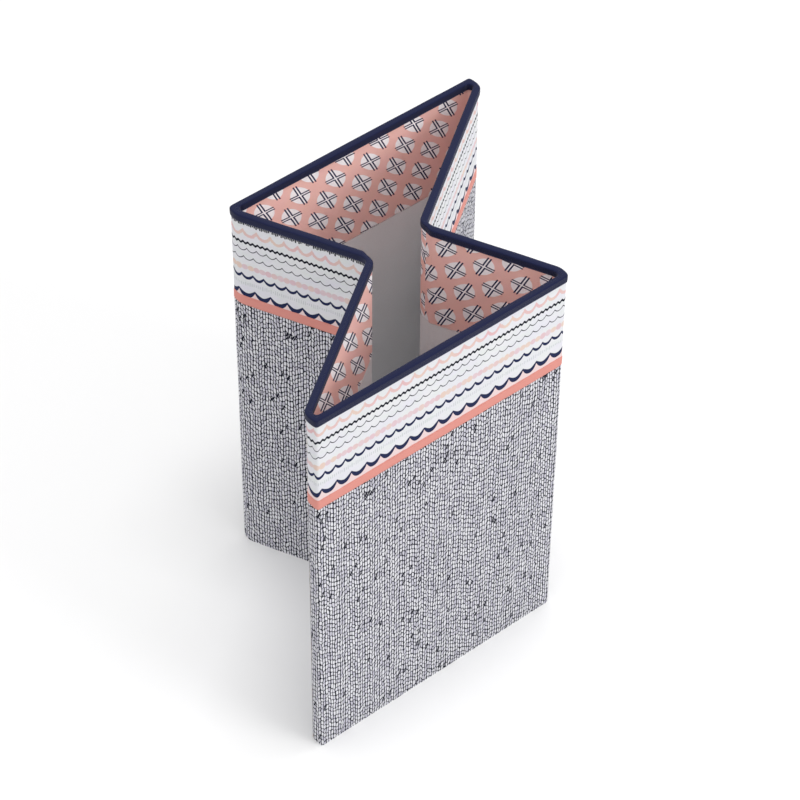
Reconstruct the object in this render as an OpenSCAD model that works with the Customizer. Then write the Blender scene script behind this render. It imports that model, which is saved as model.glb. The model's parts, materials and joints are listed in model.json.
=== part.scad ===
// Collapsible fabric storage bin, standing half folded.
// Six fabric-covered boards make the walls: a front and a back panel, and on each
// side a rear and a front gusset leaf that meet in a soft vertical crease.
// The origin is on the floor under the middle of the bin. +Z is up, +X is to the
// right and +Y is to the back. The bin looks the same after half a turn about Z,
// so the long leaves (left front, right rear) are one shape, and so are the
// short leaves (left rear, right front).

/* [Bin size] */
// Height of the walls, rim binding included
bin_height = 585; // [400:1:800]
// Distance between the two corner hinges of the front or back panel
panel_width = 370; // [300:1:520]
// Length of a short gusset leaf, from its corner hinge to its crease
short_leaf = 165; // [120:1:200]
// Length of a long gusset leaf, from its corner hinge to its crease
long_leaf = 260; // [205:1:320]

/* [Rest pose] */
// How far the short leaves are turned inward, in degrees from standing open
short_turn = 25; // [0:1:30]
// How far the long leaves are turned inward, in degrees from standing open
long_turn = 55; // [0:1:60]

/* [Wall layers] */
// Thickness of the stiff board inside a wall
board_thickness = 4; // [2:0.5:6]
// Thickness of the fabric on the outer face
outer_skin = 1; // [0.5:0.25:2]
// Thickness of the fabric on the inner face
inner_skin = 1; // [0.5:0.25:2]

/* [Rim and bands] */
// Height of the navy binding on each face
binding_height = 11; // [8:1:30]
// Thickness of the binding tape
binding_thickness = 1.5; // [0.5:0.25:3]
// Distance from the rim down to the lower edge of the scalloped cuff
cuff_depth = 133; // [80:1:250]
// Height of the coral ribbon below the cuff
ribbon_height = 16; // [8:1:40]
// Distance from the rim down to the lower edge of the printed facing inside
facing_depth = 156; // [80:1:260]

/* [Corners and creases] */
// Depth of the soft corner between a panel and the hinge line of its leaf
corner_depth = 9; // [7:0.5:14]
// Radius of the rounded outer corner
corner_radius = 5; // [2:0.5:5]
// Gap between a leaf and the corner that it turns against
corner_gap = 0.5; // [0.3:0.1:1]
// Width of the soft strip in a crease, between the hinge lines of its two leaves
crease_width = 10; // [8:0.5:16]
// Half the thickness of the soft strip in a crease
crease_radius = 2.5; // [1:0.25:2.5]
// Gap from a crease's hinge line to the end of the leaf beside it
crease_gap = 3; // [3:0.5:6]
// Distance from a leaf's outer face to its crease hinge line
crease_offset = 0.5; // [0.5:0.1:1]

/* [Base insert] */
// Thickness of the base board without its sleeve
base_board_thickness = 3; // [2:0.25:3]
// Thickness of the sleeve around the base board
sleeve_thickness = 0.5; // [0.25:0.25:0.5]
// Gap between the base insert and what surrounds it when it lies in the open bin
base_clearance = 4; // [3:0.5:8]
// Gap between the stowed insert and the rim binding of the front panel
stow_gap = 0.9; // [0.5:0.1:1]
// Height of the stowed insert above the floor
stow_lift = 1; // [0.5:0.5:5]

/* [Hidden] */

NAVY = [0.13, 0.17, 0.33];
KNIT = [0.55, 0.55, 0.62];
WHITE = [0.94, 0.93, 0.93];
CORAL = [0.93, 0.62, 0.56];
PINK = [0.93, 0.70, 0.66];
GREY = [0.62, 0.62, 0.62];
KRAFT = [0.70, 0.60, 0.46];

ARC_STEPS = 96;

// A wall is drawn lying along +X from its own start, with its inner face at y = 0
// and its outer face at y = wall_thickness.
wall_thickness = inner_skin + board_thickness + outer_skin;
core_top = bin_height - binding_thickness;
cuff_bottom = bin_height - cuff_depth;
ribbon_bottom = cuff_bottom - ribbon_height;
facing_bottom = bin_height - facing_depth;

// The hinge lines seen from above. Each link goes from one hinge line to the next.
function turned(a, v) = [v.x * cos(a) - v.y * sin(a), v.x * sin(a) + v.y * cos(a)];
crease_reach = wall_thickness + crease_offset;
short_link = turned(short_turn, [-crease_reach, -short_leaf]);
crease_link = [0, -crease_width];
long_link = turned(-long_turn, [crease_reach, -long_leaf]);
back_left_hinge = -([panel_width, 0] + short_link + crease_link + long_link) / 2;
left_crease_rear = back_left_hinge + short_link;
left_crease_front = left_crease_rear + crease_link;
front_left_hinge = left_crease_front + long_link;
front_right_hinge = -back_left_hinge;

base_width = panel_width - 2 * base_clearance;
base_length = short_leaf + crease_width + long_leaf + 2 * (corner_depth - base_clearance);
base_thickness = base_board_thickness + 2 * sleeve_thickness;
stow_y = -binding_thickness - stow_gap - base_thickness;

// Places: each puts a wall that is drawn along +X where it stands.
module at_front() {
    translate([front_right_hinge.x, front_right_hinge.y - corner_depth, 0])
        rotate(180)
            children();
}

module at_left_front() {
    translate([front_left_hinge.x, front_left_hinge.y, 0])
        rotate(90 - long_turn)
            children();
}

module at_left_rear() {
    translate([back_left_hinge.x, back_left_hinge.y, 0])
        rotate(90 + short_turn)
            translate([-short_leaf, 0, 0])
                children();
}

module opposite() {
    rotate(180)
        children();
}

// One layer of a wall between two ends, two depths and two heights
module slab(from, to, inner, outer, bottom, top) {
    translate([from, inner, bottom])
        cube([to - from, outer - inner, top - bottom]);
}

// The pieces of one wall between two ends
module board(from, to) {
    color(KRAFT)
        slab(from, to, inner_skin, inner_skin + board_thickness, 0, core_top);
}

module cover(from, to) {
    color(KNIT)
        slab(from, to, wall_thickness - outer_skin, wall_thickness, 0, ribbon_bottom);
}

module ribbon(from, to) {
    color(CORAL)
        slab(from, to, wall_thickness - outer_skin, wall_thickness, ribbon_bottom, cuff_bottom);
}

module cuff(from, to) {
    color(WHITE)
        slab(from, to, wall_thickness - outer_skin, wall_thickness, cuff_bottom, core_top);
}

module lining(from, to) {
    color(GREY)
        slab(from, to, 0, inner_skin, 0, facing_bottom);
}

module facing(from, to) {
    color(PINK)
        slab(from, to, 0, inner_skin, facing_bottom, core_top);
}

module binding(from, to) {
    color(NAVY)
        difference() {
            slab(from, to, -binding_thickness, wall_thickness + binding_thickness,
                 bin_height - binding_height, bin_height);
            slab(from - 1, to + 1, 0, wall_thickness,
                 bin_height - binding_height - 1, core_top);
        }
}

// The ends of each kind of wall, along its own X
panel_ends = [0, panel_width];
long_ends = [corner_gap, long_leaf - crease_gap];
short_ends = [crease_gap, short_leaf - corner_gap];

// Front panel
module front_board() { at_front() board(panel_ends[0], panel_ends[1]); }
module front_cover() { at_front() cover(panel_ends[0], panel_ends[1]); }
module front_cuff() { at_front() cuff(panel_ends[0], panel_ends[1]); }
module front_ribbon() { at_front() ribbon(panel_ends[0], panel_ends[1]); }
module front_facing() { at_front() facing(panel_ends[0], panel_ends[1]); }
module front_lining() { at_front() lining(panel_ends[0], panel_ends[1]); }
module front_binding() { at_front() binding(panel_ends[0], panel_ends[1]); }

// Back panel: the front panel after half a turn
module back_board() { opposite() front_board(); }
module back_cover() { opposite() front_cover(); }
module back_cuff() { opposite() front_cuff(); }
module back_ribbon() { opposite() front_ribbon(); }
module back_facing() { opposite() front_facing(); }
module back_lining() { opposite() front_lining(); }
module back_binding() { opposite() front_binding(); }

// Left front leaf: a long one
module left_front_board() { at_left_front() board(long_ends[0], long_ends[1]); }
module left_front_cover() { at_left_front() cover(long_ends[0], long_ends[1]); }
module left_front_cuff() { at_left_front() cuff(long_ends[0], long_ends[1]); }
module left_front_ribbon() { at_left_front() ribbon(long_ends[0], long_ends[1]); }
module left_front_facing() { at_left_front() facing(long_ends[0], long_ends[1]); }
module left_front_lining() { at_left_front() lining(long_ends[0], long_ends[1]); }
module left_front_binding() { at_left_front() binding(long_ends[0], long_ends[1]); }

// Right rear leaf: the left front leaf after half a turn
module right_rear_board() { opposite() left_front_board(); }
module right_rear_cover() { opposite() left_front_cover(); }
module right_rear_cuff() { opposite() left_front_cuff(); }
module right_rear_ribbon() { opposite() left_front_ribbon(); }
module right_rear_facing() { opposite() left_front_facing(); }
module right_rear_lining() { opposite() left_front_lining(); }
module right_rear_binding() { opposite() left_front_binding(); }

// Left rear leaf: a short one
module left_rear_board() { at_left_rear() board(short_ends[0], short_ends[1]); }
module left_rear_cover() { at_left_rear() cover(short_ends[0], short_ends[1]); }
module left_rear_cuff() { at_left_rear() cuff(short_ends[0], short_ends[1]); }
module left_rear_ribbon() { at_left_rear() ribbon(short_ends[0], short_ends[1]); }
module left_rear_facing() { at_left_rear() facing(short_ends[0], short_ends[1]); }
module left_rear_lining() { at_left_rear() lining(short_ends[0], short_ends[1]); }
module left_rear_binding() { at_left_rear() binding(short_ends[0], short_ends[1]); }

// Right front leaf: the left rear leaf after half a turn
module right_front_board() { opposite() left_rear_board(); }
module right_front_cover() { opposite() left_rear_cover(); }
module right_front_cuff() { opposite() left_rear_cuff(); }
module right_front_ribbon() { opposite() left_rear_ribbon(); }
module right_front_facing() { opposite() left_rear_facing(); }
module right_front_lining() { opposite() left_rear_lining(); }
module right_front_binding() { opposite() left_rear_binding(); }

// Soft corners: a padded column of cover fabric at each end of a panel, from the
// panel's outer face in to the hinge line, with a rounded outer edge
module corner_outline() {
    depth = corner_depth + wall_thickness - corner_gap;
    difference() {
        square([wall_thickness, depth]);
        translate([wall_thickness - corner_radius, depth - corner_radius])
            difference() {
                square(corner_radius + 1);
                circle(r = corner_radius, $fn = ARC_STEPS);
            }
    }
}

module corner_column() {
    color(KNIT)
        translate([0, corner_gap - corner_depth, 0])
            linear_extrude(height = bin_height)
                corner_outline();
}

module front_left_corner() {
    at_front()
        translate([panel_width, 0, 0])
            corner_column();
}

module front_right_corner() {
    at_front()
        mirror([1, 0, 0])
            corner_column();
}

module back_right_corner() { opposite() front_left_corner(); }
module back_left_corner() { opposite() front_right_corner(); }

// Creases: the soft strip of fabric between two leaves, rounded along both hinge lines
module crease_outline() {
    translate([-crease_radius, -crease_width])
        square([2 * crease_radius, crease_width]);
    circle(r = crease_radius, $fn = ARC_STEPS);
    translate(crease_link)
        circle(r = crease_radius, $fn = ARC_STEPS);
}

module left_crease_fold() {
    color(KNIT)
        translate([left_crease_rear.x, left_crease_rear.y, 0])
            linear_extrude(height = bin_height)
                crease_outline();
}

module right_crease_fold() { opposite() left_crease_fold(); }

// Base insert: a board in a fabric sleeve, stowed upright behind the front panel
module base_board() {
    color(KRAFT)
        at_front()
            translate([base_clearance + sleeve_thickness, stow_y + sleeve_thickness, stow_lift])
                cube([base_width - 2 * sleeve_thickness, base_board_thickness, base_length]);
}

module base_sleeve() {
    color(GREY)
        at_front()
            difference() {
                translate([base_clearance, stow_y, stow_lift])
                    cube([base_width, base_thickness, base_length]);
                translate([base_clearance + sleeve_thickness, stow_y + sleeve_thickness, 0])
                    cube([base_width - 2 * sleeve_thickness, base_board_thickness,
                          2 * base_length]);
            }
}

front_board();
front_cover();
front_cuff();
front_ribbon();
front_facing();
front_lining();
front_binding();
back_board();
back_cover();
back_cuff();
back_ribbon();
back_facing();
back_lining();
back_binding();
left_front_board();
left_front_cover();
left_front_cuff();
left_front_ribbon();
left_front_facing();
left_front_lining();
left_front_binding();
right_rear_board();
right_rear_cover();
right_rear_cuff();
right_rear_ribbon();
right_rear_facing();
right_rear_lining();
right_rear_binding();
left_rear_board();
left_rear_cover();
left_rear_cuff();
left_rear_ribbon();
left_rear_facing();
left_rear_lining();
left_rear_binding();
right_front_board();
right_front_cover();
right_front_cuff();
right_front_ribbon();
right_front_facing();
right_front_lining();
right_front_binding();
front_left_corner();
front_right_corner();
back_left_corner();
back_right_corner();
left_crease_fold();
right_crease_fold();
base_board();
base_sleeve();
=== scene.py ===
"""Collapsible fabric storage bin, standing half folded: the looks, made around the CAD frame."""
import json
import math
from typing import NamedTuple
import bpy
from mathutils import Matrix, Vector, noise


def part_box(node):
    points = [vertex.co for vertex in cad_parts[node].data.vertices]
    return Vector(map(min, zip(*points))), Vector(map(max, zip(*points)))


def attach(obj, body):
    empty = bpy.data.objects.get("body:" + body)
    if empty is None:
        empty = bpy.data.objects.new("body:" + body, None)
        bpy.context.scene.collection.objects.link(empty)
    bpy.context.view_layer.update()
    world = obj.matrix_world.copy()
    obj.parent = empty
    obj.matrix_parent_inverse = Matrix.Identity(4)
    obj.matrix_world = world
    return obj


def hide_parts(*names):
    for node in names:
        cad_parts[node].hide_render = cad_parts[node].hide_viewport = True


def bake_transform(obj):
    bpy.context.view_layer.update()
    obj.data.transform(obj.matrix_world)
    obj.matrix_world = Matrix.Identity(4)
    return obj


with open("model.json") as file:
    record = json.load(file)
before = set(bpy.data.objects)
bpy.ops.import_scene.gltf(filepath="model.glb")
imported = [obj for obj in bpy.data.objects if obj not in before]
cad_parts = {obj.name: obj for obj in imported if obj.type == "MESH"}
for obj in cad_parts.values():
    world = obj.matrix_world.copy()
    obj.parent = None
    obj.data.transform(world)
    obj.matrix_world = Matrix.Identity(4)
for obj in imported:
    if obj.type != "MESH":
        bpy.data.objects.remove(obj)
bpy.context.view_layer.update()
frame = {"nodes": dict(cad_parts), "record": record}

MM = 0.001
UP = Vector((0, 0, 1))

# Sewing sizes, in metres
SKIN = 1.0 * MM             # thickness of a fabric skin
TAPE = 1.5 * MM             # thickness of the binding tape
CORNER_INSET = 4 * MM       # from a leaf's end at a corner to where the corner fabric starts
CREASE_INSET = 2 * MM       # from a leaf's end at a crease to where the crease fabric starts
INNER_INSET = 6 * MM        # from a panel's end to where the fabric of the inner corner starts
SHORTEST_SHEET = 10 * MM    # a sheet's flat size starts here
CREASE_PRESS = 0.55         # thickness of a crease, as a share of the leaf beside it
CORNER_EASE = 0.7 * MM      # room between a leaf's outer face and the corner fabric
CORNER_DROP = 3.5 * MM      # where the corner fabric stops wrapping the panel's end
SQUARENESS = 0.8            # how square a corner is: 0.55 is round, 1 is sharp
EDGE_ROLL = 0.55 * MM       # how far a rounded edge of fabric rolls in
FLAP_SINK = 0.2 * MM        # how far the flap of the open corner lies under its wrap
TAPE_SINK = 0.3 * MM        # the same for the tape there
BLEND_REACH = 4.5 * MM      # a distance either side of a hinge; the points taken at it beside a bend are not used
RUN_STEP = 5 * MM           # length of a mesh face along a wall
RISE_STEP = 11 * MM         # height of a mesh face away from a seam
SEAM_STEP = 2.5 * MM        # height of a mesh face near a seam
SEAM_REACH = 15 * MM        # how far puckers reach from a seam
BEND_STEPS = 16             # mesh faces round a corner or crease
CAP_STEPS = 10              # mesh faces over the top of the binding
SHARP_ANGLE = math.radians(55)
STITCH_PITCH = 3.4 * MM
STITCH_LENGTH = 2.3 * MM
STITCH_RADIUS = 0.28 * MM
STITCH_INSET = 2.0 * MM     # from an edge to its row of stitches
STITCH_TAPER = 0.45         # how much thinner a stitch is at its ends


# ------------------------------------------------ the frame's walls

def reach(node, direction):
    """The lowest and highest place of a CAD node along a direction."""
    values = [v.co.dot(direction) for v in frame["nodes"][node].data.vertices]
    return min(values), max(values)


def middle(node):
    low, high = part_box(node)
    return (Vector(low) + Vector(high)) / 2


HINGE = {
    joint["name"]: Vector((joint["pos_m"][0], joint["pos_m"][1], 0))
    for joint in frame["record"]["behaviour"]["joints"]
    if joint["type"] == "hinge"
}
OPEN_PIVOT = -HINGE["left_front_fold"]

RIM = Vector(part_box("front_binding")[1]).z
BINDING_BOTTOM = Vector(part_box("front_binding")[0]).z
CORE_TOP = Vector(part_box("front_cuff")[1]).z
CUFF_BOTTOM = Vector(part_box("front_cuff")[0]).z
RIBBON_BOTTOM = Vector(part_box("front_ribbon")[0]).z
FACING_BOTTOM = Vector(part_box("front_facing")[0]).z


class Wall:
    """A flat stretch of the bin, followed as seen from outside: s runs from left to right,
    and d from the inner face outward."""

    def __init__(self, name, body, out, start, inner, thickness, length, ends):
        self.name = name
        self.body = body
        self.out = out
        self.travel = UP.cross(out)
        self.start = start
        self.inner = inner
        self.thickness = thickness
        self.length = length
        self.outer_ends = (ends[0][0], length - ends[1][0])
        self.inner_ends = (ends[0][1], length - ends[1][1])

    def at(self, s, d):
        return self.travel * (self.start + s) + self.out * (self.inner + d)


def board_wall(name, ends):
    out = middle(name + "_cover") - middle(name + "_lining")
    out = Vector((out.x, out.y, 0)).normalized()
    start, end = reach(name + "_board", UP.cross(out))
    inner = reach(name + "_lining", out)[0]
    outer = reach(name + "_cover", out)[1]
    return Wall(name, name, out, start, inner, outer - inner, end - start, ends)


def crease_wall(name, first_hinge, second_hinge, leaf):
    """The soft strip between two hinge lines, pressed thinner than the leaves beside it."""
    travel = (second_hinge - first_hinge).normalized()
    out = travel.cross(UP)
    set_back = first_hinge.dot(leaf.out) - (leaf.inner + leaf.thickness)
    thickness = leaf.thickness * CREASE_PRESS
    inner = first_hinge.dot(out) - set_back - thickness
    width = (second_hinge - first_hinge).length
    half = (width / 2, width / 2)
    return Wall(name, name, out, first_hinge.dot(travel), inner, thickness, width, (half, half))


PANEL_END = (0.0, INNER_INSET)
CORNER_END = (CORNER_INSET, CORNER_INSET)
CREASE_END = (CREASE_INSET, CREASE_INSET)

front = board_wall("front", (PANEL_END, PANEL_END))
right_front = board_wall("right_front", (CORNER_END, CREASE_END))
right_rear = board_wall("right_rear", (CREASE_END, CORNER_END))
back = board_wall("back", (PANEL_END, PANEL_END))
left_rear = board_wall("left_rear", (CORNER_END, CREASE_END))
left_front = board_wall("left_front", (CREASE_END, CORNER_END))
right_crease = crease_wall(
    "right_crease", HINGE["right_front_crease"], HINGE["right_rear_crease"], right_front)
left_crease = crease_wall(
    "left_crease", HINGE["left_rear_crease"], HINGE["left_front_crease"], left_rear)

# Every wall with the bend that follows it, once round the bin and seen from outside
ROUND = [
    (front, "front_right_corner", HINGE["right_front_fold"]),
    (right_front, "right_front_crease", HINGE["right_front_crease"]),
    (right_crease, "right_rear_crease", HINGE["right_rear_crease"]),
    (right_rear, "back_right_corner", OPEN_PIVOT),
    (back, "back_left_corner", HINGE["back_left_fold"]),
    (left_rear, "left_rear_crease", HINGE["left_rear_crease"]),
    (left_crease, "left_front_crease", HINGE["left_front_crease"]),
    (left_front, "front_left_corner", HINGE["left_front_fold"]),
]


# ------------------------------------------------ paths round the bin

class Station(NamedTuple):
    """One upright line of a fabric: where it stands, which way it faces and its run."""

    place: Vector
    normal: Vector
    run: float


def bezier(p, a, b, q, t):
    """Place and direction at t, from 0 to 1, on the cubic curve with handles a and b."""
    u = 1 - t
    place = p * u**3 + a * 3 * u * u * t + b * 3 * u * t * t + q * t**3
    way = (a - p) * u * u + (b - a) * 2 * u * t + (q - b) * t * t
    return place, way.normalized()


def curve(p, p_way, q, q_way, count):
    """Points and directions of a smooth bend from p, heading p_way, to q, heading q_way."""
    turn = p_way.angle(q_way, 0.0)
    chord = (q - p).length
    handle = chord / 3
    if turn > 0.02:
        handle = chord / (2 * math.sin(turn / 2)) * 4 / 3 * math.tan(turn / 4)
    a = p + p_way * handle
    b = q - q_way * handle
    return [bezier(p, a, b, q, i / count) for i in range(count + 1)]


def straight(p, q, way):
    count = max(1, round((q - p).length / RUN_STEP))
    return [(p.lerp(q, i / count), way) for i in range(count + 1)]


def blunt_corner(p, p_way, q, q_way, hinge, thickness, count):
    """A blunt bend: out round the end of the panel, then in round the hinge line.
    The panel's end is where the path is farther from the hinge."""
    if (p - hinge).length < (q - hinge).length:
        reverse = blunt_corner(q, -q_way, p, -p_way, hinge, thickness, count)
        return [(place, -way) for place, way in reversed(reverse)]
    inward = Vector((p_way.y, -p_way.x, 0))
    if (q - p).dot(inward) < 0:
        inward.negate()
    leaf_out = Vector((-q_way.y, q_way.x, 0))
    if leaf_out.dot(p_way) < 0:
        leaf_out.negate()
    stand_off = thickness * leaf_out.dot(p_way) + CORNER_EASE
    half_way = hinge + p_way * stand_off - inward * CORNER_DROP
    reach_out = (half_way - p).dot(p_way)
    reach_in = (half_way - p).dot(inward)
    a = p + p_way * (reach_out * SQUARENESS)
    b = half_way - inward * (reach_in * SQUARENESS)
    first = [bezier(p, a, b, half_way, i / (count // 2)) for i in range(count // 2)]
    return first + curve(half_way, inward, q, q_way, count - count // 2)


class Path:
    """The outer or the inner face line of one wall or bend, as stations."""

    def __init__(self, points, side, run):
        self.stations = []
        last = None
        for place, way in points:
            if last is not None:
                run += (place - last).length
            normal = way.cross(UP) * (1 if side == "outer" else -1)
            self.stations.append(Station(place, normal, run))
            last = place
        self.start_run = self.stations[0].run
        self.end_run = run

    @property
    def length(self):
        return self.end_run - self.start_run


def wall_end(wall, side, which):
    """Where a wall's fabric starts (which = 0) or ends (which = 1) on one side."""
    if side == "outer":
        return wall.at(wall.outer_ends[which], wall.thickness)
    return wall.at(wall.inner_ends[which], 0.0)


def wall_points(wall, side):
    return straight(wall_end(wall, side, 0), wall_end(wall, side, 1), wall.travel)


def bend_points(wall, after, side, name, hinge):
    p = wall_end(wall, side, 1)
    q = wall_end(after, side, 0)
    if side == "outer" and name.endswith("corner"):
        return blunt_corner(p, wall.travel, q, after.travel, hinge, wall.thickness, BEND_STEPS)
    return curve(p, wall.travel, q, after.travel, BEND_STEPS)


def round_the_bin(side):
    """The paths of all walls and bends on one side, with runs that carry on round the bin."""
    paths = {}
    run = 0.0
    for i, (wall, bend_name, hinge) in enumerate(ROUND):
        after = ROUND[(i + 1) % len(ROUND)][0]
        paths[wall.name] = Path(wall_points(wall, side), side, run)
        run = paths[wall.name].end_run
        paths[bend_name] = Path(bend_points(wall, after, side, bend_name, hinge), side, run)
        run = paths[bend_name].end_run
    return paths, run


outer_paths, outer_round = round_the_bin("outer")
inner_paths, inner_round = round_the_bin("inner")


def station_at(stations, run):
    """The station at a run, between the two nearest ones, and the direction there."""
    j = 0
    while j < len(stations) - 2 and stations[j + 1].run < run:
        j += 1
    a, b = stations[j], stations[j + 1]
    t = (run - a.run) / (b.run - a.run)
    normal = a.normal.lerp(b.normal, t).normalized()
    return Station(a.place.lerp(b.place, t), normal, run), (b.place - a.place).normalized()


def respaced(stations, count):
    """The same line of stations in a given number of equal steps."""
    first, last = stations[0].run, stations[-1].run
    return [station_at(stations, first + (last - first) * i / count)[0]
            for i in range(count + 1)]


# ------------------------------------------------ fabric relief

def ring_noise(run, height, around, size, seed):
    """Smooth noise from -1 to 1 that closes on itself after once round the bin."""
    radius = around / (2 * math.pi)
    angle = run / radius
    place = Vector((radius * math.cos(angle), radius * math.sin(angle), height + seed)) / size
    return noise.noise(place)


def relief(run, z, around, seams, seed):
    """How far stretched fabric stands proud: slow waves, and puckers beside each seam."""
    slow = 0.35 * MM * ring_noise(run, z, around, 70 * MM, seed)
    quick = 0.12 * MM * ring_noise(run, z, around, 22 * MM, seed + 3)
    pucker = 0.0
    for seam in seams:
        near = max(0.0, 1 - abs(z - seam) / SEAM_REACH)
        wave = ring_noise(run, z * 0.15, around, 6.5 * MM, seed + seam)
        pucker += 0.45 * MM * near * near * wave
    return slow + quick + pucker


def levels(bottom, top, seams):
    """Heights of a skin's mesh rows: close together beside a seam, wider elsewhere."""
    heights = [bottom]
    while heights[-1] < top:
        here = heights[-1]
        near = min((abs(here - seam) for seam in seams), default=1.0)
        step = SEAM_STEP if near < SEAM_REACH else RISE_STEP
        heights.append(here + step)
    count = len(heights) - 1
    overshoot = heights[-1] - top
    return [h - overshoot * (i / count) for i, h in enumerate(heights)]


# ------------------------------------------------ meshes

def add_to_scene(name, data):
    obj = bpy.data.objects.new(name, data)
    bpy.context.scene.collection.objects.link(obj)
    return obj


def make_object(name, vertices, faces, cloth=None):
    mesh = bpy.data.meshes.new(name)
    mesh.from_pydata(vertices, [], faces)
    mesh.validate()
    mesh.shade_smooth()
    mesh.set_sharp_from_angle(angle=SHARP_ANGLE)
    if cloth:
        layer = mesh.attributes.new("cloth", "FLOAT_VECTOR", "POINT")
        layer.data.foreach_set("vector", [x for value in cloth for x in value])
    return add_to_scene(name, mesh)


def loft(name, sections):
    """A closed solid through rings of points. Each ring point is (place, cloth value)."""
    size = len(sections[0])
    vertices = [place for ring in sections for place, _ in ring]
    cloth = [value for ring in sections for _, value in ring]
    faces = []
    for i in range(len(sections) - 1):
        for j in range(size):
            k = (j + 1) % size
            faces.append((i * size + j, i * size + k, (i + 1) * size + k, (i + 1) * size + j))
    last = (len(sections) - 1) * size
    for j in range(size // 2 - 1):
        faces.append((j + 1, j, size - 1 - j, size - 2 - j))
        faces.append((last + j, last + j + 1, last + size - 2 - j, last + size - 1 - j))
    return make_object(name, vertices, faces, cloth)


class Zone(NamedTuple):
    """One band of fabric: its heights, how far it stands proud and which edges are rounded."""

    name: str
    side: str
    bottom: float
    top: float
    seams: tuple
    proud: float
    seed: float
    slot: str
    round_bottom: bool
    round_top: bool


ZONES = [
    Zone("cover", "outer", 0.0, RIBBON_BOTTOM, (RIBBON_BOTTOM,), 0.0, 0.0,
         "knit_print_fabric", True, False),
    Zone("ribbon", "outer", RIBBON_BOTTOM, CUFF_BOTTOM, (RIBBON_BOTTOM, CUFF_BOTTOM), 0.6 * MM, 0.0,
         "coral_ribbon", True, True),
    Zone("cuff", "outer", CUFF_BOTTOM, CORE_TOP, (CUFF_BOTTOM, BINDING_BOTTOM), 0.0, 0.0,
         "scallop_print_fabric", False, False),
    Zone("lining", "inner", 0.0, FACING_BOTTOM, (FACING_BOTTOM,), 0.0, 7.0,
         "grey_lining", True, False),
    Zone("facing", "inner", FACING_BOTTOM, CORE_TOP, (FACING_BOTTOM, BINDING_BOTTOM), 0.35 * MM, 7.0,
         "cross_print_fabric", True, False),
]


# Where the outer print of a wall lies: run and depth shifts, in millimetres
OUTER_PRINT = {
    "front": (0.0, 0.0), "back": (7.0, 0.0), "right_front": (3.0, -2.0),
    "left_rear": (11.0, -5.5), "right_rear": (5.0, -3.0), "left_front": (2.0, -3.0),
}

# The lattice of crosses in the cloth as printed, in millimetres: two steps and one centre
FIRST_STEP = (55.5, 3.3)
SECOND_STEP = (27.5, 58.1)
CROSS_CENTRE = (202.3, 43.0)

# The same lattice as it lies on each wall, whose cloth was cut and stretched in its own way
NATURAL = (FIRST_STEP, SECOND_STEP, CROSS_CENTRE)
SHORT_LEAF = ((49.7, 10.0), (-24.5, 52.0), (17.8, 22.4))
LONG_LEAF = ((113.0, 136.0), (-51.0, 0.0), (157.5, 42.2))
INNER_PRINT = {
    "front": NATURAL, "back": NATURAL, "right_front": SHORT_LEAF,
    "left_rear": SHORT_LEAF, "right_rear": NATURAL, "left_front": LONG_LEAF,
}

# The walls whose outer and inner prints carry on round each corner. A crease takes its leaf's
PRINT_OF = {
    "front_right_corner": ("front", "front"), "front_left_corner": ("front", "front"),
    "back_right_corner": ("back", "back"), "back_left_corner": ("left_rear", "back"),
}


def in_steps(u, v, first, second):
    """A place in the lattice, counted in first and second steps. Takes numbers or sockets."""
    area = first[0] * second[1] - first[1] * second[0]
    along = u * (second[1] / area) - v * (second[0] / area)
    down = v * (first[0] / area) - u * (first[1] / area)
    return along, down


def cloth_value(owner, side, run, z):
    """The print coordinates of a point: run and depth below the rim, in millimetres."""
    leaf = owner.removesuffix("_crease")
    wall = PRINT_OF.get(owner, (leaf, leaf))[0 if side == "outer" else 1]
    depth = (RIM - z) / MM
    if side == "outer":
        left = outer_paths[wall].start_run
        if owner == "front_left_corner":
            left += outer_round
        shift = OUTER_PRINT[wall]
        return ((run - left) / MM + shift[0], depth + shift[1], 0.0)
    first, second, centre = INNER_PRINT[wall]
    left = inner_paths[wall].end_run
    if owner == "front_left_corner":
        left += inner_round
    along, down = in_steps((left - run) / MM - centre[0], depth - centre[1], first, second)
    return (CROSS_CENTRE[0] + along * FIRST_STEP[0] + down * SECOND_STEP[0],
            CROSS_CENTRE[1] + along * FIRST_STEP[1] + down * SECOND_STEP[1], 0.0)


class Sheet(NamedTuple):
    """A fabric to declare: its flat size as cut, and the short flaps that belong to it."""

    obj: bpy.types.Object
    flat: tuple
    held: str
    flaps: list


SHEETS = {}

# The leaf whose own sheets a bend's short flaps belong to
FLAP_OF = {"right_rear_crease": "right_rear", "left_front_crease": "left_front",
           "back_right_corner": "right_rear"}


def declare(obj, owner, part, stations, width, held):
    """Note a fabric that follows the stations; a short one goes with its leaf's own."""
    length = stations[-1].run - stations[0].run
    if length < SHORTEST_SHEET:
        SHEETS[FLAP_OF[owner], part].flaps.append(obj)
    else:
        SHEETS[owner, part] = Sheet(obj, (length, width), held, [])


def skin(name, owner, zone, stations, lift=0.0):
    """A thin closed band of fabric over the stations."""
    around = outer_round if zone.side == "outer" else inner_round
    rows = levels(zone.bottom, zone.top, zone.seams)
    lips = {}
    for edge, rounded in ((0, zone.round_bottom), (len(rows) - 1, zone.round_top)):
        lips[edge] = -EDGE_ROLL - zone.proud if rounded else 0.0
    sections = []
    for station in stations:
        face, back_side = [], []
        for i, z in enumerate(rows):
            proud = relief(station.run, z, around, zone.seams, zone.seed)
            proud += zone.proud + lips.get(i, 0.0) + lift
            value = cloth_value(owner, zone.side, station.run, z)
            here = station.place + station.normal * proud
            under = station.place + station.normal * (min(lift, 0.0) - SKIN)
            face.append((here + UP * z, value))
            back_side.append((under + UP * z, value))
        sections.append(face + back_side[::-1])
    if zone.side == "inner":
        sections = sections[::-1]
    obj = loft(name, sections)
    declare(obj, owner, zone.name, stations, zone.top - zone.bottom, "stretched")
    return obj


# ------------------------------------------------ binding

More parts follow.
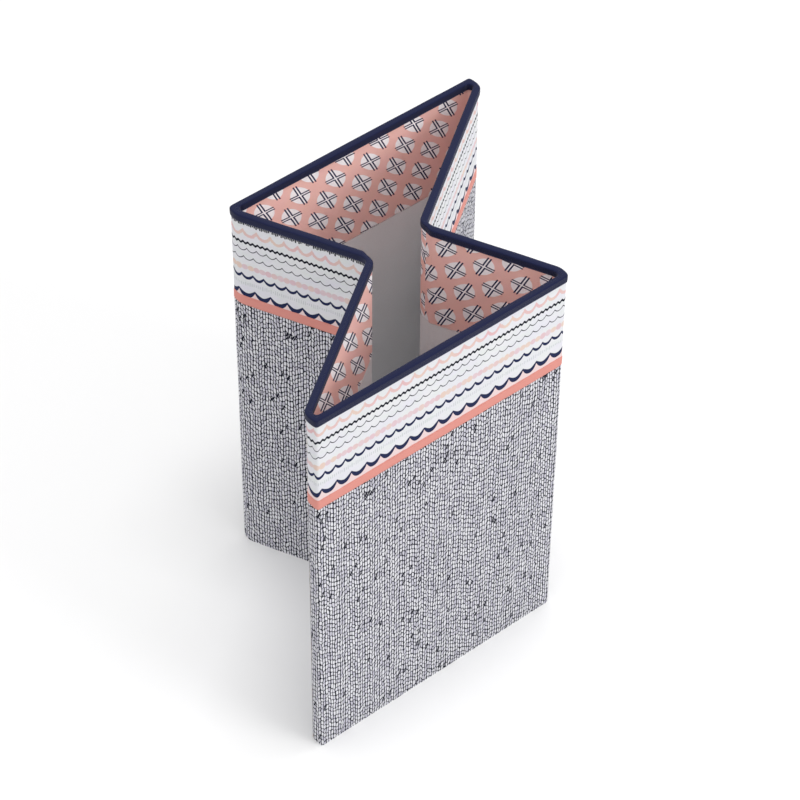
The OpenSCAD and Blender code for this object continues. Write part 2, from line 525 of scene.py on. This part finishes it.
def binding_ring(outer, inner, drop):
    """One ring of the tape folded over the rim, from an outer and an inner station."""
    across = outer.place - inner.place
    half = across.length / 2
    n = across.normalized()
    centre = (outer.place + inner.place) / 2
    wave = 0.35 * MM * ring_noise(outer.run, 0.0, outer_round, 26 * MM, 11.0)
    crown = 0.35 * MM * ring_noise(outer.run, 0.0, outer_round, 45 * MM, 5.0)
    top = RIM + crown - drop
    bottom = BINDING_BOTTOM + wave
    bulge = TAPE + 0.1 * MM
    shoulder = 2.2 * MM

    def place(x, z):
        return centre + n * x + UP * z

    def value(x, z):
        side_run = outer.run if x > 0 else inner.run
        return (side_run / MM, (RIM - z) / MM, 0.0)

    flank = [bottom, bottom + 0.5 * MM, bottom + 2.0 * MM, bottom + 4.0 * MM, top - shoulder]
    swell = [0.35, 0.9, 1.0, 1.1, 1.1]
    ring = [(half + bulge * k, z) for z, k in zip(flank, swell)]
    flat = half + bulge * 1.1 - shoulder
    for i in range(1, CAP_STEPS):
        angle = math.pi * i / CAP_STEPS
        x = math.cos(angle)
        crown_here = 0.5 * MM * (1 - min(1.0, abs(x)) ** 2)
        ring.append((x * shoulder + flat * max(-1.0, min(1.0, 2.2 * x)),
                     top - shoulder + (shoulder - 0.5 * MM) * math.sin(angle) ** 0.6 + crown_here))
    ring += [(-half - bulge * k, z) for z, k in zip(flank[::-1], swell[::-1])]
    under = top - drop - TAPE
    tuck = []
    for x, z in ring[::-1]:
        if abs(x) >= half:
            tuck.append((math.copysign(half, x), min(z, under)))
        else:
            tuck.append((x * half / (half + bulge), under))
    return [(place(x, z), value(x, z)) for x, z in ring + tuck]


def binding(name, owner, outer_stations, inner_stations, drop=0.0):
    """The tape over the rim between two equally long rows of stations."""
    rings = [binding_ring(outer, inner, drop)
             for outer, inner in zip(outer_stations, inner_stations)]
    obj = loft(name, rings)
    over_the_top = (outer_stations[0].place - inner_stations[0].place).length
    width = 2 * (RIM - BINDING_BOTTOM) + over_the_top
    declare(obj, owner, "binding", outer_stations, width, "folded")
    return obj


# ------------------------------------------------ stitches

def stitch_row(stations, z, proud):
    """Centres and directions of the stitches along a row of stations at a height."""
    first = stations[0].run
    length = stations[-1].run - first
    count = max(1, int(length / STITCH_PITCH))
    row = []
    for i in range(count):
        station, way = station_at(stations, first + length * (i + 0.5) / count)
        row.append((station.place + station.normal * proud + UP * z, way, station.normal))
    return row


def stitches(name, rows):
    """Short raised threads that dip into the cloth at both ends."""
    vertices, faces = [], []
    sides, rings = 6, 5
    for centre, way, normal in (stitch for row in rows for stitch in row):
        base = len(vertices)
        up = normal.cross(way)
        for i in range(rings):
            t = -1 + 2 * i / (rings - 1)
            thick = STITCH_RADIUS * (1 - STITCH_TAPER * t * t)
            sink = -STITCH_RADIUS * 1.6 * t * t
            middle_point = centre + way * (t * STITCH_LENGTH / 2) + normal * sink
            for k in range(sides):
                angle = 2 * math.pi * k / sides
                vertices.append(middle_point + up * (thick * math.cos(angle))
                                + normal * (thick * math.sin(angle)))
        for i in range(rings - 1):
            for k in range(sides):
                m = (k + 1) % sides
                faces.append((base + i * sides + k, base + i * sides + m,
                              base + (i + 1) * sides + m, base + (i + 1) * sides + k))
        faces.append(tuple(base + k for k in range(sides))[::-1])
        faces.append(tuple(base + (rings - 1) * sides + k for k in range(sides)))
    return make_object(name, vertices, faces)


# ------------------------------------------------ materials

def new_material(name):
    material = bpy.data.materials.new(name)
    material.use_nodes = True
    return material, material.node_tree, material.node_tree.nodes["Principled BSDF"]


def feed(tree, slot, value):
    """Link a number inside a material to a node's input, or set a plain number there."""
    if isinstance(value, Socket):
        tree.links.new(value.output, slot)
    else:
        slot.default_value = value


class Socket:
    """A number inside a material. Arithmetic on it adds Math nodes."""

    def __init__(self, tree, output):
        self.tree = tree
        self.output = output

    def op(self, operation, *others):
        node = self.tree.nodes.new("ShaderNodeMath")
        node.operation = operation
        for slot, other in zip(node.inputs, (self,) + others):
            feed(self.tree, slot, other)
        return Socket(self.tree, node.outputs[0])

    def __add__(self, other):
        return self.op("ADD", other)

    def __sub__(self, other):
        return self.op("SUBTRACT", other)

    def __rsub__(self, other):
        return (self * -1.0) + other

    def __mul__(self, other):
        return self.op("MULTIPLY", other)

    def __truediv__(self, other):
        return self.op("DIVIDE", other)

    def __pow__(self, other):
        return self.op("POWER", other)

    def __abs__(self):
        return self.op("ABSOLUTE")

    def floor(self):
        return self.op("FLOOR")

    def fraction(self):
        return self.op("FRACT")

    def sine(self):
        return self.op("SINE")

    def larger(self, other):
        return self.op("MAXIMUM", other)

    def root(self):
        return self.op("SQRT")

    def clamp(self):
        result = self.op("ADD", 0.0)
        result.output.node.use_clamp = True
        return result


class Cloth:
    """A material under construction, with the print coordinates of its fabric."""

    def __init__(self, name):
        self.material, self.tree, self.shader = new_material(name)
        attribute = self.tree.nodes.new("ShaderNodeAttribute")
        attribute.attribute_name = "cloth"
        split = self.tree.nodes.new("ShaderNodeSeparateXYZ")
        self.tree.links.new(attribute.outputs["Vector"], split.inputs[0])
        self.run = Socket(self.tree, split.outputs[0])
        self.depth = Socket(self.tree, split.outputs[1])

    def vector(self, x, y, z=0.0):
        node = self.tree.nodes.new("ShaderNodeCombineXYZ")
        for slot, value in zip(node.inputs, (x, y, z)):
            feed(self.tree, slot, value)
        return node.outputs[0]

    def noise(self, x, y, seed=0.0, detail=2.0, roughness=0.5):
        """Smooth noise from about -0.5 to 0.5; a change of 1 in x or y is one wave."""
        node = self.tree.nodes.new("ShaderNodeTexNoise")
        node.inputs["Scale"].default_value = 1.0
        node.inputs["Detail"].default_value = detail
        node.inputs["Roughness"].default_value = roughness
        self.tree.links.new(self.vector(x, y, seed), node.inputs["Vector"])
        return Socket(self.tree, node.outputs["Fac"]) - 0.5

    def random(self, x, y, seed=0.0):
        """A random number from 0 to 1 for each whole x and y."""
        node = self.tree.nodes.new("ShaderNodeTexWhiteNoise")
        self.tree.links.new(self.vector(x, y, seed), node.inputs["Vector"])
        return Socket(self.tree, node.outputs["Value"])

    def paint(self, base, factor, colour):
        """base covered with a colour where factor is 1."""
        node = self.tree.nodes.new("ShaderNodeMix")
        node.data_type = "RGBA"
        self.tree.links.new(factor.output, node.inputs["Factor"])
        for slot, value in ((node.inputs["A"], base), (node.inputs["B"], colour)):
            if isinstance(value, bpy.types.NodeSocket):
                self.tree.links.new(value, slot)
            else:
                slot.default_value = value
        return node.outputs["Result"]

    def finish(self, colour, bump, distance, roughness=0.85, sheen=0.03):
        """The material, with its colour and with bumps as high as the distance."""
        self.tree.links.new(colour, self.shader.inputs["Base Color"])
        self.shader.inputs["Roughness"].default_value = roughness
        self.shader.inputs["Specular IOR Level"].default_value = 0.15
        self.shader.inputs["Sheen Weight"].default_value = sheen
        self.shader.inputs["Sheen Roughness"].default_value = 0.5
        node = self.tree.nodes.new("ShaderNodeBump")
        node.inputs["Strength"].default_value = 0.5
        node.inputs["Distance"].default_value = distance
        self.tree.links.new(bump.output, node.inputs["Height"])
        self.tree.links.new(node.outputs[0], self.shader.inputs["Normal"])
        return self.material


def rgb(red, green, blue):
    """A colour given as it looks on a screen, from 0 to 255."""
    linear = []
    for value in (red, green, blue):
        v = value / 255
        linear.append(v / 12.92 if v <= 0.04045 else ((v + 0.055) / 1.055) ** 2.4)
    return (*linear, 1.0)


INK = rgb(12, 15, 32)
NAVY = rgb(22, 32, 70)
BINDING_NAVY = rgb(16, 23, 58)
CORAL = rgb(211, 141, 131)
CORAL_PINK = rgb(243, 194, 189)
BLUSH = rgb(212, 168, 172)
BEIGE = rgb(214, 188, 174)
ROSE = rgb(208, 162, 170)
WHITE = rgb(219, 219, 221)
LAVENDER = rgb(208, 206, 221)
PALE_GREEN = rgb(207, 216, 207)
PALE_PINK = rgb(222, 200, 200)
DASH_GREY = rgb(150, 160, 160)


class Arcs(NamedTuple):
    """A printed row of hanging arcs, in millimetres, with its seed and how rough its edge is."""

    cusp: float
    sag: float
    pitch: float
    thin: float
    thick: float
    seed: float
    rough: float


SOFT_ARCS = Arcs(18.0, 7.6, 18.5, 3.6, 4.6, 1.0, 2.4)
UPPER_FINE_ARCS = Arcs(46.5, 4.6, 13.1, 1.1, 1.25, 2.0, 0.3)
LOWER_FINE_ARCS = Arcs(60.5, 4.4, 13.0, 1.1, 1.25, 3.0, 0.3)
BOLD_ARCS = Arcs(90.5, 5.6, 15.1, 2.2, 4.5, 4.0, 0.7)
LOWEST_ARCS = Arcs(117.0, 8.4, 21.9, 2.0, 7.2, 5.0, 0.6)


def ribs(value, pitch):
    """A sine that repeats once per pitch."""
    return (value * (2 * math.pi / pitch)).sine()


def weave(cloth, pitch):
    """The bump of a plain weave: threads over and under, both ways."""
    return ribs(cloth.run, pitch) * ribs(cloth.depth, pitch)


def printed_cloth_bump(cloth):
    """A fine weave with loose fibres."""
    return weave(cloth, 0.9) * 0.5 + cloth.noise(cloth.run / 1.6, cloth.depth / 1.6, 3.0) * 0.8


def ramp(value, soft):
    """1 where value is above zero, with a soft edge."""
    return (value / soft + 0.5).clamp()


def along_arc(cloth, row):
    """How far along its hanging arc a place is, from 0 to 1. The arcs drift in width."""
    drift = cloth.noise(cloth.run / 41.0, 0.0, row.seed) * 0.25
    return (cloth.run / row.pitch + drift + row.seed * 0.37).fraction()


def garland(cloth, row):
    """A brushed row of hanging arcs: 1 on the line, 0 elsewhere."""
    f = along_arc(cloth, row)
    arch = f * (1.0 - f) * 4.0
    slope = (1.0 - f * 2.0) * (4.0 * row.sag / row.pitch)
    steep = (slope * slope + 1.0).root()
    wander = cloth.noise(cloth.run / 23.0, 0.0, row.seed + 5.0) * 1.6
    brush = cloth.noise(cloth.run / 3.1, cloth.depth / 3.1, row.seed + 9.0) * row.rough
    distance = abs(cloth.depth - (arch * row.sag + row.cusp) - wander) / steep
    half = arch * ((row.thick - row.thin) / 2) + row.thin / 2
    return ramp(half - distance + brush, 0.5)


def needle_ticks(cloth):
    """Short upright ticks that show below the tape where a leaf's print lies lower."""
    tick = cloth.run / 2.4 + cloth.noise(cloth.run / 9.0, 0.0, 4.0) * 0.8
    tall = cloth.random(tick.floor(), 0.0, 3.0) * 4.2 + 7.4
    return ramp(0.38 - abs(tick.fraction() - 0.5), 0.12) * ramp(tall - cloth.depth, 0.5)


def wavy_line(cloth, depth):
    """A dark zigzag with an uneven thickness."""
    swing = cloth.run * (2 * math.pi / 6.6) + cloth.noise(cloth.run / 15.0, 0.0, 6.0) * 2.0
    drift = cloth.noise(cloth.run / 30.0, 0.0, 8.0) * 1.5
    line = abs(cloth.depth - depth - swing.sine() * 1.2 - drift)
    return ramp(cloth.noise(cloth.run / 5.0, 0.0, 9.0) + 1.9 - line, 0.5)


def beads(cloth, depth, pitch):
    """Round beads that nearly touch, and a random tone for each."""
    bead = cloth.run / pitch + cloth.noise(cloth.run / 30.0, 0.0, 14.0) * 0.6
    x = (bead.fraction() - 0.5) * pitch
    high = cloth.random(bead.floor(), 0.0, 5.0) + 4.0
    y = (cloth.depth - depth - cloth.noise(cloth.run / 40.0, 0.0, 16.0) * 1.5) / high
    mask = ramp(1.0 - (x * x / 20.0 + y * y), 0.35)
    return mask, cloth.random(bead.floor(), 1.0, 6.0)


def faint_dashes(cloth, depth):
    dash = cloth.run / 2.9 + cloth.noise(cloth.run / 12.0, 0.0, 18.0)
    half_long = cloth.random(dash.floor(), 0.0, 8.0) * 2.2 + 1.2
    drift = cloth.noise(cloth.run / 20.0, 0.0, 20.0) * 5.0
    narrow = ramp(0.2 - abs(dash.fraction() - 0.5), 0.2)
    return narrow * ramp(half_long - abs(cloth.depth - depth - drift), 0.8)


def scallop_print():
    """Rows of hanging arcs, beads and lines on white, each at its depth below the rim."""
    cloth = Cloth("scallop_print")
    run, depth = cloth.run, cloth.depth
    tint = ramp(cloth.noise(run / 60.0, depth / 26.0, 2.0), 0.5)
    colour = cloth.paint(WHITE, tint * 0.6, LAVENDER)
    green = ramp(cloth.noise(run / 17.0, depth / 9.0, 21.0) - 0.1, 0.4)
    colour = cloth.paint(colour, green * 0.5, PALE_GREEN)
    shade = ramp(cloth.noise(run / 34.0, 0.0, 12.0), 0.25)
    soft = garland(cloth, SOFT_ARCS)
    colour = cloth.paint(colour, soft * 0.9, cloth.paint(BLUSH, shade, BEIGE))
    bead, tone = beads(cloth, 78.5, 8.2)
    bead_colour = cloth.paint(ROSE, ramp(tone - 0.6, 0.3), BEIGE)
    colour = cloth.paint(colour, bead * (tone * 0.4 + 0.5), bead_colour)
    colour = cloth.paint(colour, faint_dashes(cloth, 106.0) * 0.45, DASH_GREY)
    # below the lowest arcs the ground is pale pink
    f = along_arc(cloth, LOWEST_ARCS)
    hanging = f * (1.0 - f) * 4.0 * 8.6
    colour = cloth.paint(colour, ramp(depth - LOWEST_ARCS.cusp - hanging, 1.0), PALE_PINK)
    for mask, ink in (
            (needle_ticks(cloth), INK),
            (wavy_line(cloth, 37.5), INK),
            (garland(cloth, UPPER_FINE_ARCS), INK),
            (garland(cloth, LOWER_FINE_ARCS), INK),
            (garland(cloth, BOLD_ARCS), NAVY),
            (garland(cloth, LOWEST_ARCS), NAVY)):
        colour = cloth.paint(colour, mask, ink)
    return cloth.finish(colour, printed_cloth_bump(cloth), 0.12 * MM)


def knit_print():
    """A printed knit: columns of rounded cells with dark outlines and a few dark cells. Each cell has a
    painted shade of grey on its right side so that it looks raised.
    """
    cloth = Cloth("knit_print")
    run, depth = cloth.run, cloth.depth
    column_pitch, cell_height = 3.9, 7.6
    even = run / column_pitch + cloth.noise(run / 10.0, depth / 20.0, 1.0, 2.0)
    x = even + (even * math.pi).sine() * 0.05
    column = x.floor()
    fx = x.fraction() - 0.5
    shift = cloth.random(column, 0.0, 2.0)
    stretch = cloth.noise(column * 0.7, depth / 16.0, 3.0, 1.0) * 1.3
    lean = cloth.random(column, 3.0, 9.0) * 1.1 - 0.55
    y = depth / cell_height + shift + stretch + fx * lean
    row = y.floor()
    fy = y.fraction() - 0.5
    tone = cloth.random(column, row, 4.0)
    kind = cloth.random(column, row, 5.0)
    wide = cloth.random(column, row, 6.0) * 0.09 + 0.325
    high = cloth.random(column, row, 7.0) * 0.05 + 0.4
    slant = cloth.random(column, row, 8.0) * 0.3 - 0.15
    across = fx + fy * slant
    cell = abs(across / wide) ** 3.6 + abs(fy / high) ** 3.2
    inside = ramp(1.0 - cell, 0.5)
    # painted shade: grey on the right side of each cell makes the cells look raised. The random tone of
    # each cell moves where the grey starts, so some cells stay white and some are mostly grey, as tones
    # of the print
    grey_tone_and_painted_shade = ramp(across + (tone - 0.68) * 0.9, 0.16)
    fill = cloth.paint(rgb(216, 216, 221), grey_tone_and_painted_shade * 0.9, rgb(182, 180, 194))
    black = ramp(0.02 - kind, 0.002) * ramp(0.3 - abs(across + fy * 0.55), 0.12)  # 2 % of cells
    fill = cloth.paint(fill, black, INK)
    colour = cloth.paint(INK, inside, fill)
    bump = weave(cloth, 0.9) * 0.5 + inside * 0.6 + cloth.noise(run / 1.6, depth / 1.6, 3.0) * 0.6
    return cloth.finish(colour, bump, 0.15 * MM)


def cross_motif(a, b):
    """One motif in its own skewed axes, in millimetres: a blob and a double-line cross."""
    skew = 0.87                          # about the sine of the angle between the axes
    blob_size, blob_height, roundness = 14.0, 18.0, 1.8
    blob = ramp(1.0 - (abs(a / blob_size) ** roundness + abs(b / blob_height) ** roundness), 0.09)

    def double_line(near, along, half_length, other):
        """Two lines 1.85 mm from the axis, broken where the other pair crosses."""
        line = ramp(0.95 - abs(near - 1.85), 0.4)
        return line * ramp(half_length - abs(along), 0.8) * ramp(other - 0.9, 0.4)

    a_near = abs(a) * skew
    b_near = abs(b) * skew
    return blob, double_line(b_near, a, 15.4, a_near).larger(double_line(a_near, b, 20.8, b_near))


def cross_print():
    """Hollow crosses on white blobs, on a coral ground, on a skewed lattice."""
    cloth = Cloth("cross_print")
    warp_x = cloth.noise(cloth.run / 30.0, cloth.depth / 30.0, 2.0) * 1.2
    warp_y = cloth.noise(cloth.run / 30.0, cloth.depth / 30.0, 7.0) * 1.2
    along, down = in_steps(cloth.run + warp_x - CROSS_CENTRE[0],
                           cloth.depth + warp_y - CROSS_CENTRE[1], FIRST_STEP, SECOND_STEP)
    motifs = []
    for offset in (0.5, 0.0):
        a = ((along + offset).fraction() - 0.5) * math.hypot(*FIRST_STEP)
        b = ((down + offset).fraction() - 0.5) * math.hypot(*SECOND_STEP)
        motifs.append(cross_motif(a, b))
    (blob, line), (middle_blob, middle_line) = motifs
    blobs = blob.larger(middle_blob)
    lines = line.larger(middle_line)
    mottle = ramp(cloth.noise(cloth.run / 24.0, cloth.depth / 24.0, 5.0), 0.6)
    colour = cloth.paint(CORAL_PINK, mottle * 0.7, rgb(244, 197, 182))
    colour = cloth.paint(colour, blobs, rgb(252, 250, 253))
    colour = cloth.paint(colour, lines, rgb(28, 34, 74))
    return cloth.finish(colour, printed_cloth_bump(cloth), 0.12 * MM)


def ribbon_material():
    cloth = Cloth("coral_grosgrain")
    tone = cloth.noise(cloth.run / 25.0, cloth.depth / 6.0, 3.0)
    colour = cloth.paint(CORAL, ramp(tone, 0.8) * 0.5, rgb(216, 140, 130))
    bump = ribs(cloth.run, 1.1) + cloth.noise(cloth.run / 0.8, cloth.depth / 3.0, 4.0)
    return cloth.finish(colour, bump, 0.12 * MM, 0.7)


def lining_material():
    cloth = Cloth("grey_nonwoven")
    tone = cloth.noise(cloth.run / 2.2, cloth.depth / 2.2, 3.0, 4.0)
    slow = cloth.noise(cloth.run / 60.0, cloth.depth / 60.0, 6.0)
    colour = cloth.paint(rgb(240, 240, 241), ramp(tone + slow * 0.6, 1.2), rgb(226, 226, 228))
    return cloth.finish(colour, weave(cloth, 2.4) + tone, 0.15 * MM, 0.9)


def binding_material():
    cloth = Cloth("navy_twill_tape")
    twill = ribs(cloth.run + cloth.depth, 1.0)
    tone = cloth.noise(cloth.run / 18.0, cloth.depth / 5.0, 3.0)
    colour = cloth.paint(BINDING_NAVY, ramp(tone, 0.9) * 0.5, rgb(12, 16, 48))
    bump = twill + cloth.noise(cloth.run / 0.9, cloth.depth / 0.9, 4.0)
    return cloth.finish(colour, bump, 0.12 * MM, 0.75, 0.1)


def plain_material(name, dark, light, size, roughness=0.8):
    """Uneven colour and a fine bump in object space, for thread and board."""
    material, tree, shader = new_material(name)
    place = tree.nodes.new("ShaderNodeTexCoord")
    texture = tree.nodes.new("ShaderNodeTexNoise")
    texture.inputs["Scale"].default_value = 1 / size
    texture.inputs["Detail"].default_value = 6
    tree.links.new(place.outputs["Object"], texture.inputs["Vector"])
    mix = tree.nodes.new("ShaderNodeMix")
    mix.data_type = "RGBA"
    mix.inputs["A"].default_value = dark
    mix.inputs["B"].default_value = light
    tree.links.new(texture.outputs["Fac"], mix.inputs["Factor"])
    tree.links.new(mix.outputs["Result"], shader.inputs["Base Color"])
    bump = tree.nodes.new("ShaderNodeBump")
    bump.inputs["Strength"].default_value = 0.4
    bump.inputs["Distance"].default_value = 0.15 * MM
    tree.links.new(texture.outputs["Fac"], bump.inputs["Height"])
    tree.links.new(bump.outputs[0], shader.inputs["Normal"])
    shader.inputs["Roughness"].default_value = roughness
    return material


MATERIAL = {
    "cover": knit_print(),
    "ribbon": ribbon_material(),
    "cuff": scallop_print(),
    "lining": lining_material(),
    "facing": cross_print(),
    "binding": binding_material(),
    "navy_thread": plain_material("navy_thread", rgb(26, 34, 72), rgb(44, 54, 100), 1 * MM, 0.6),
    "coral_thread": plain_material("coral_thread", rgb(204, 136, 126), rgb(224, 158, 148), 1 * MM, 0.6),
    "pale_thread": plain_material("pale_thread", rgb(226, 200, 196), rgb(246, 226, 222), 1 * MM, 0.6),
    "board": plain_material("kraft_board", rgb(150, 118, 80), rgb(186, 154, 112), 4 * MM, 0.9),
}


def dress(obj, material):
    obj.data.materials.clear()
    obj.data.materials.append(MATERIAL[material])


def fasten(obj, body, node):
    """The piece moves with a body and is shown in place of a CAD node."""
    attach(obj, body)
    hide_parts(node)


def show_as_board(node):
    materials = frame["nodes"][node].data.materials
    materials.clear()
    materials.append(MATERIAL["board"])


# ------------------------------------------------ the walls

THREADS = {
    "ribbon": ("coral_thread", "coral_ribbon"),
    "facing": ("pale_thread", "cross_print_fabric"),
    "binding": ("navy_thread", "navy_binding"),
}


def zone_path(name, zone):
    """The stations of a wall or bend that a zone's fabric covers."""
    return (outer_paths if zone.side == "outer" else inner_paths)[name].stations


def wall_piece(wall, zone):
    node = f"{wall.name}_{zone.name}"
    obj = skin(node + "_fabric", wall.name, zone, zone_path(wall.name, zone))
    dress(obj, zone.name)
    fasten(obj, wall.body, node)


def wall_binding(wall):
    outer, inner = outer_paths[wall.name], inner_paths[wall.name]
    count = max(1, round(outer.length / RUN_STEP))
    node = f"{wall.name}_binding"
    obj = binding(node + "_tape", wall.name,
                  respaced(outer.stations, count), respaced(inner.stations, count))
    dress(obj, "binding")
    fasten(obj, wall.body, node)


def wall_stitches(wall):
    outer = outer_paths[wall.name].stations
    inner = inner_paths[wall.name].stations
    tape_row = BINDING_BOTTOM + STITCH_INSET
    on_tape, on_ribbon, on_facing = TAPE + 0.25 * MM, 0.75 * MM, 0.5 * MM
    rows = {
        "binding": [stitch_row(outer, tape_row, on_tape), stitch_row(inner, tape_row, on_tape)],
        "ribbon": [stitch_row(outer, RIBBON_BOTTOM + STITCH_INSET, on_ribbon),
                   stitch_row(outer, CUFF_BOTTOM - STITCH_INSET, on_ribbon)],
        "facing": [stitch_row(inner, FACING_BOTTOM + STITCH_INSET, on_facing)],
    }
    for name, lines in rows.items():
        thread, slot = THREADS[name]
        obj = stitches(f"{wall.name}_{name}_stitches", lines)
        dress(obj, thread)
        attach(obj, wall.body)


WALLS = [wall for wall, _, _ in ROUND if wall not in (right_crease, left_crease)]
for wall in WALLS:
    for zone in ZONES:
        wall_piece(wall, zone)
    wall_binding(wall)
    wall_stitches(wall)
    show_as_board(wall.name + "_board")


# ------------------------------------------------ corners and creases

def cad_node(bend):
    """The CAD node a bend's fabric stands for. Both bends of a crease stand for one node."""
    if bend.endswith("_crease"):
        return bend.split("_")[0] + "_crease_fold"
    return bend


def bend_piece(obj, material, here, after, name, hinge):
    """Fabric round a hinge line between two bodies: dressed, with its place set into its mesh, and
    shown in place of the bend's CAD node. It is fastened to neither body.
    """
    dress(obj, material)
    way = (here.travel + after.travel).normalized()
    middle_height = UP * (RIM / 2)
    tuple(hinge - way * BLEND_REACH + middle_height)
    tuple(hinge + way * BLEND_REACH + middle_height)
    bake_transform(obj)
    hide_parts(cad_node(name))


def bend_between(here, after, name, hinge):
    for zone in ZONES:
        obj = skin(f"{name}_{zone.name}_wrap", name, zone, zone_path(name, zone))
        bend_piece(obj, zone.name, here, after, name, hinge)
    tape = binding(f"{name}_binding_wrap", name,
                   respaced(outer_paths[name].stations, BEND_STEPS),
                   respaced(inner_paths[name].stations, BEND_STEPS))
    bend_piece(tape, "binding", here, after, name, hinge)


for i, (here, name, hinge) in enumerate(ROUND):
    if hinge is not OPEN_PIVOT:
        bend_between(here, ROUND[(i + 1) % len(ROUND)][0], name, hinge)


# ------------------------------------------------ the open corner

def open_corner():
    """Where the linkage is open: the panel's fabric wraps over a flap of the leaf's."""
    name = "back_right_corner"
    outer_row = respaced(outer_paths[name].stations, BEND_STEPS * 2)
    inner_row = respaced(inner_paths[name].stations, BEND_STEPS * 2)
    way = (right_rear.travel + back.travel).normalized()

    def first_past(row, distance):
        """The first station that is more than a distance past the pivot."""
        return next(i for i, s in enumerate(row) if (s.place - OPEN_PIVOT).dot(way) > distance)

    def place_pair(flap, wrap, material):
        for obj, body in ((flap, "right_rear"), (wrap, "back")):
            dress(obj, material)
            fasten(obj, body, name)

    cut_out = first_past(outer_row, -1.0 * MM)
    cut_in = first_past(inner_row, 0.0)
    for zone in ZONES:
        row, cut, lift = inner_row, cut_in, 0.0
        if zone.side == "outer":
            row, cut, lift = outer_row, cut_out, -FLAP_SINK
        flap = skin(f"{name}_{zone.name}_flap", name, zone, row[:cut + 1], lift)
        wrap = skin(f"{name}_{zone.name}_wrap", name, zone, row[cut:])
        place_pair(flap, wrap, zone.name)
    flap_tape = binding(f"{name}_binding_flap", name, respaced(outer_row[:cut_out + 1], BEND_STEPS),
                        respaced(inner_row[:cut_in + 1], BEND_STEPS), TAPE_SINK)
    wrap_tape = binding(f"{name}_binding_wrap", name, respaced(outer_row[cut_out:], BEND_STEPS),
                        respaced(inner_row[cut_in:], BEND_STEPS))
    place_pair(flap_tape, wrap_tape, "binding")


open_corner()


# ------------------------------------------------ the base insert

def base_sleeve():
    """The stiffened base, stowed upright: a flat sleeve with a sewn border and rounded edges."""
    low, high = (Vector(corner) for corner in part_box("base_sleeve"))
    border = 9 * MM             # from the edge to the sewn border
    seam_depth = 0.35 * MM
    seam_width = 1.6 * MM
    rounding = 2.5 * MM         # width of the rounded edge
    edge_share = 0.45           # thickness at the edge, as a share of the full one
    size = high - low
    columns = 60
    rows = 72
    vertices, cloth, faces = [], [], []
    for face_side in (-1, 1):
        for i in range(columns + 1):
            for j in range(rows + 1):
                x = size.x * i / columns
                z = size.z * j / rows
                edge = min(x, size.x - x, z, size.z - z)
                thick = size.y / 2 * (edge_share + (1 - edge_share) * min(1.0, edge / rounding))
                seam = seam_depth * math.exp(-((edge - border) / seam_width) ** 2)
                wave = 0.12 * MM * noise.noise(Vector((x, z, face_side)) / (55 * MM))
                y = (low.y + high.y) / 2 + face_side * (thick - seam - 0.1 * MM + wave)
                vertices.append(Vector((low.x + x, y, low.z + z)))
                cloth.append((x / MM, z / MM, 0.0))
    wide = rows + 1
    sheet_size = (columns + 1) * wide
    for i in range(columns):
        for j in range(rows):
            a = i * wide + j
            faces.append((a, a + wide, a + wide + 1, a + 1))
            b = a + sheet_size
            faces.append((b, b + 1, b + wide + 1, b + wide))
    rim = [i * wide for i in range(columns + 1)]
    rim += [columns * wide + j for j in range(1, rows + 1)]
    rim += [i * wide + rows for i in range(columns - 1, -1, -1)]
    rim += [j for j in range(rows - 1, 0, -1)]
    for k, a in enumerate(rim):
        b = rim[(k + 1) % len(rim)]
        faces.append((a, a + sheet_size, b + sheet_size, b))
    obj = make_object("base_sleeve_fabric", vertices, faces, cloth)
    dress(obj, "lining")
    fasten(obj, "base_insert", "base_sleeve")
    show_as_board("base_board")


base_sleeve()


# ------------------------------------------------ floor, light and camera

def floor():
    mesh = bpy.data.meshes.new("floor")
    half = 6.0
    mesh.from_pydata([(-half, -half, 0), (half, -half, 0), (half, half, 0), (-half, half, 0)],
                     [], [(0, 1, 2, 3)])
    obj = add_to_scene("floor", mesh)
    material, _, shader = new_material("pale_floor")
    shader.inputs["Base Color"].default_value = (0.88, 0.88, 0.88, 1.0)
    shader.inputs["Roughness"].default_value = 0.9
    shader.inputs["Specular IOR Level"].default_value = 0.1
    mesh.materials.append(material)


def aim(obj, place, target):
    obj.location = place
    obj.rotation_euler = (Vector(target) - Vector(place)).to_track_quat("-Z", "Y").to_euler()


def area_light(name, place, target, size, power):
    light = bpy.data.lights.new(name, "AREA")
    light.shape = "SQUARE"
    light.size = size
    light.energy = power
    aim(add_to_scene(name, light), place, target)


def studio():
    floor()
    world = bpy.data.worlds.new("studio")
    world.use_nodes = True
    background = world.node_tree.nodes["Background"]
    background.inputs["Color"].default_value = (1, 1, 1, 1)
    background.inputs["Strength"].default_value = 0.9
    bpy.context.scene.world = world
    area_light("key", (1.3, -3.3, 2.5), (0, 0, 0.3), size=1.8, power=47)
    area_light("fill", (0.1, -0.2, 3.0), (0, 0, 0.3), size=0.8, power=28)
    bpy.context.scene.view_settings.view_transform = "Standard"


CAMERA_PLACE = Vector((-1.798, -2.151, 3.167))
CAMERA_AZIMUTH = math.radians(-40.0)
CAMERA_ELEVATION = math.radians(45.5)
CAMERA_ROLL = math.radians(0.5)
CAMERA_LENS = 144.2


def camera():
    data = bpy.data.cameras.new("camera")
    data.lens = CAMERA_LENS
    data.sensor_width = 36
    obj = add_to_scene("camera", data)
    level = math.cos(CAMERA_ELEVATION)
    way = Vector((-math.sin(CAMERA_AZIMUTH) * level, math.cos(CAMERA_AZIMUTH) * level,
                  -math.sin(CAMERA_ELEVATION)))
    turn = way.to_track_quat("-Z", "Y").to_matrix().to_4x4()
    obj.matrix_world = Matrix.Translation(CAMERA_PLACE) @ turn @ Matrix.Rotation(CAMERA_ROLL, 4, "Z")
    bpy.context.scene.camera = obj


camera()
studio()
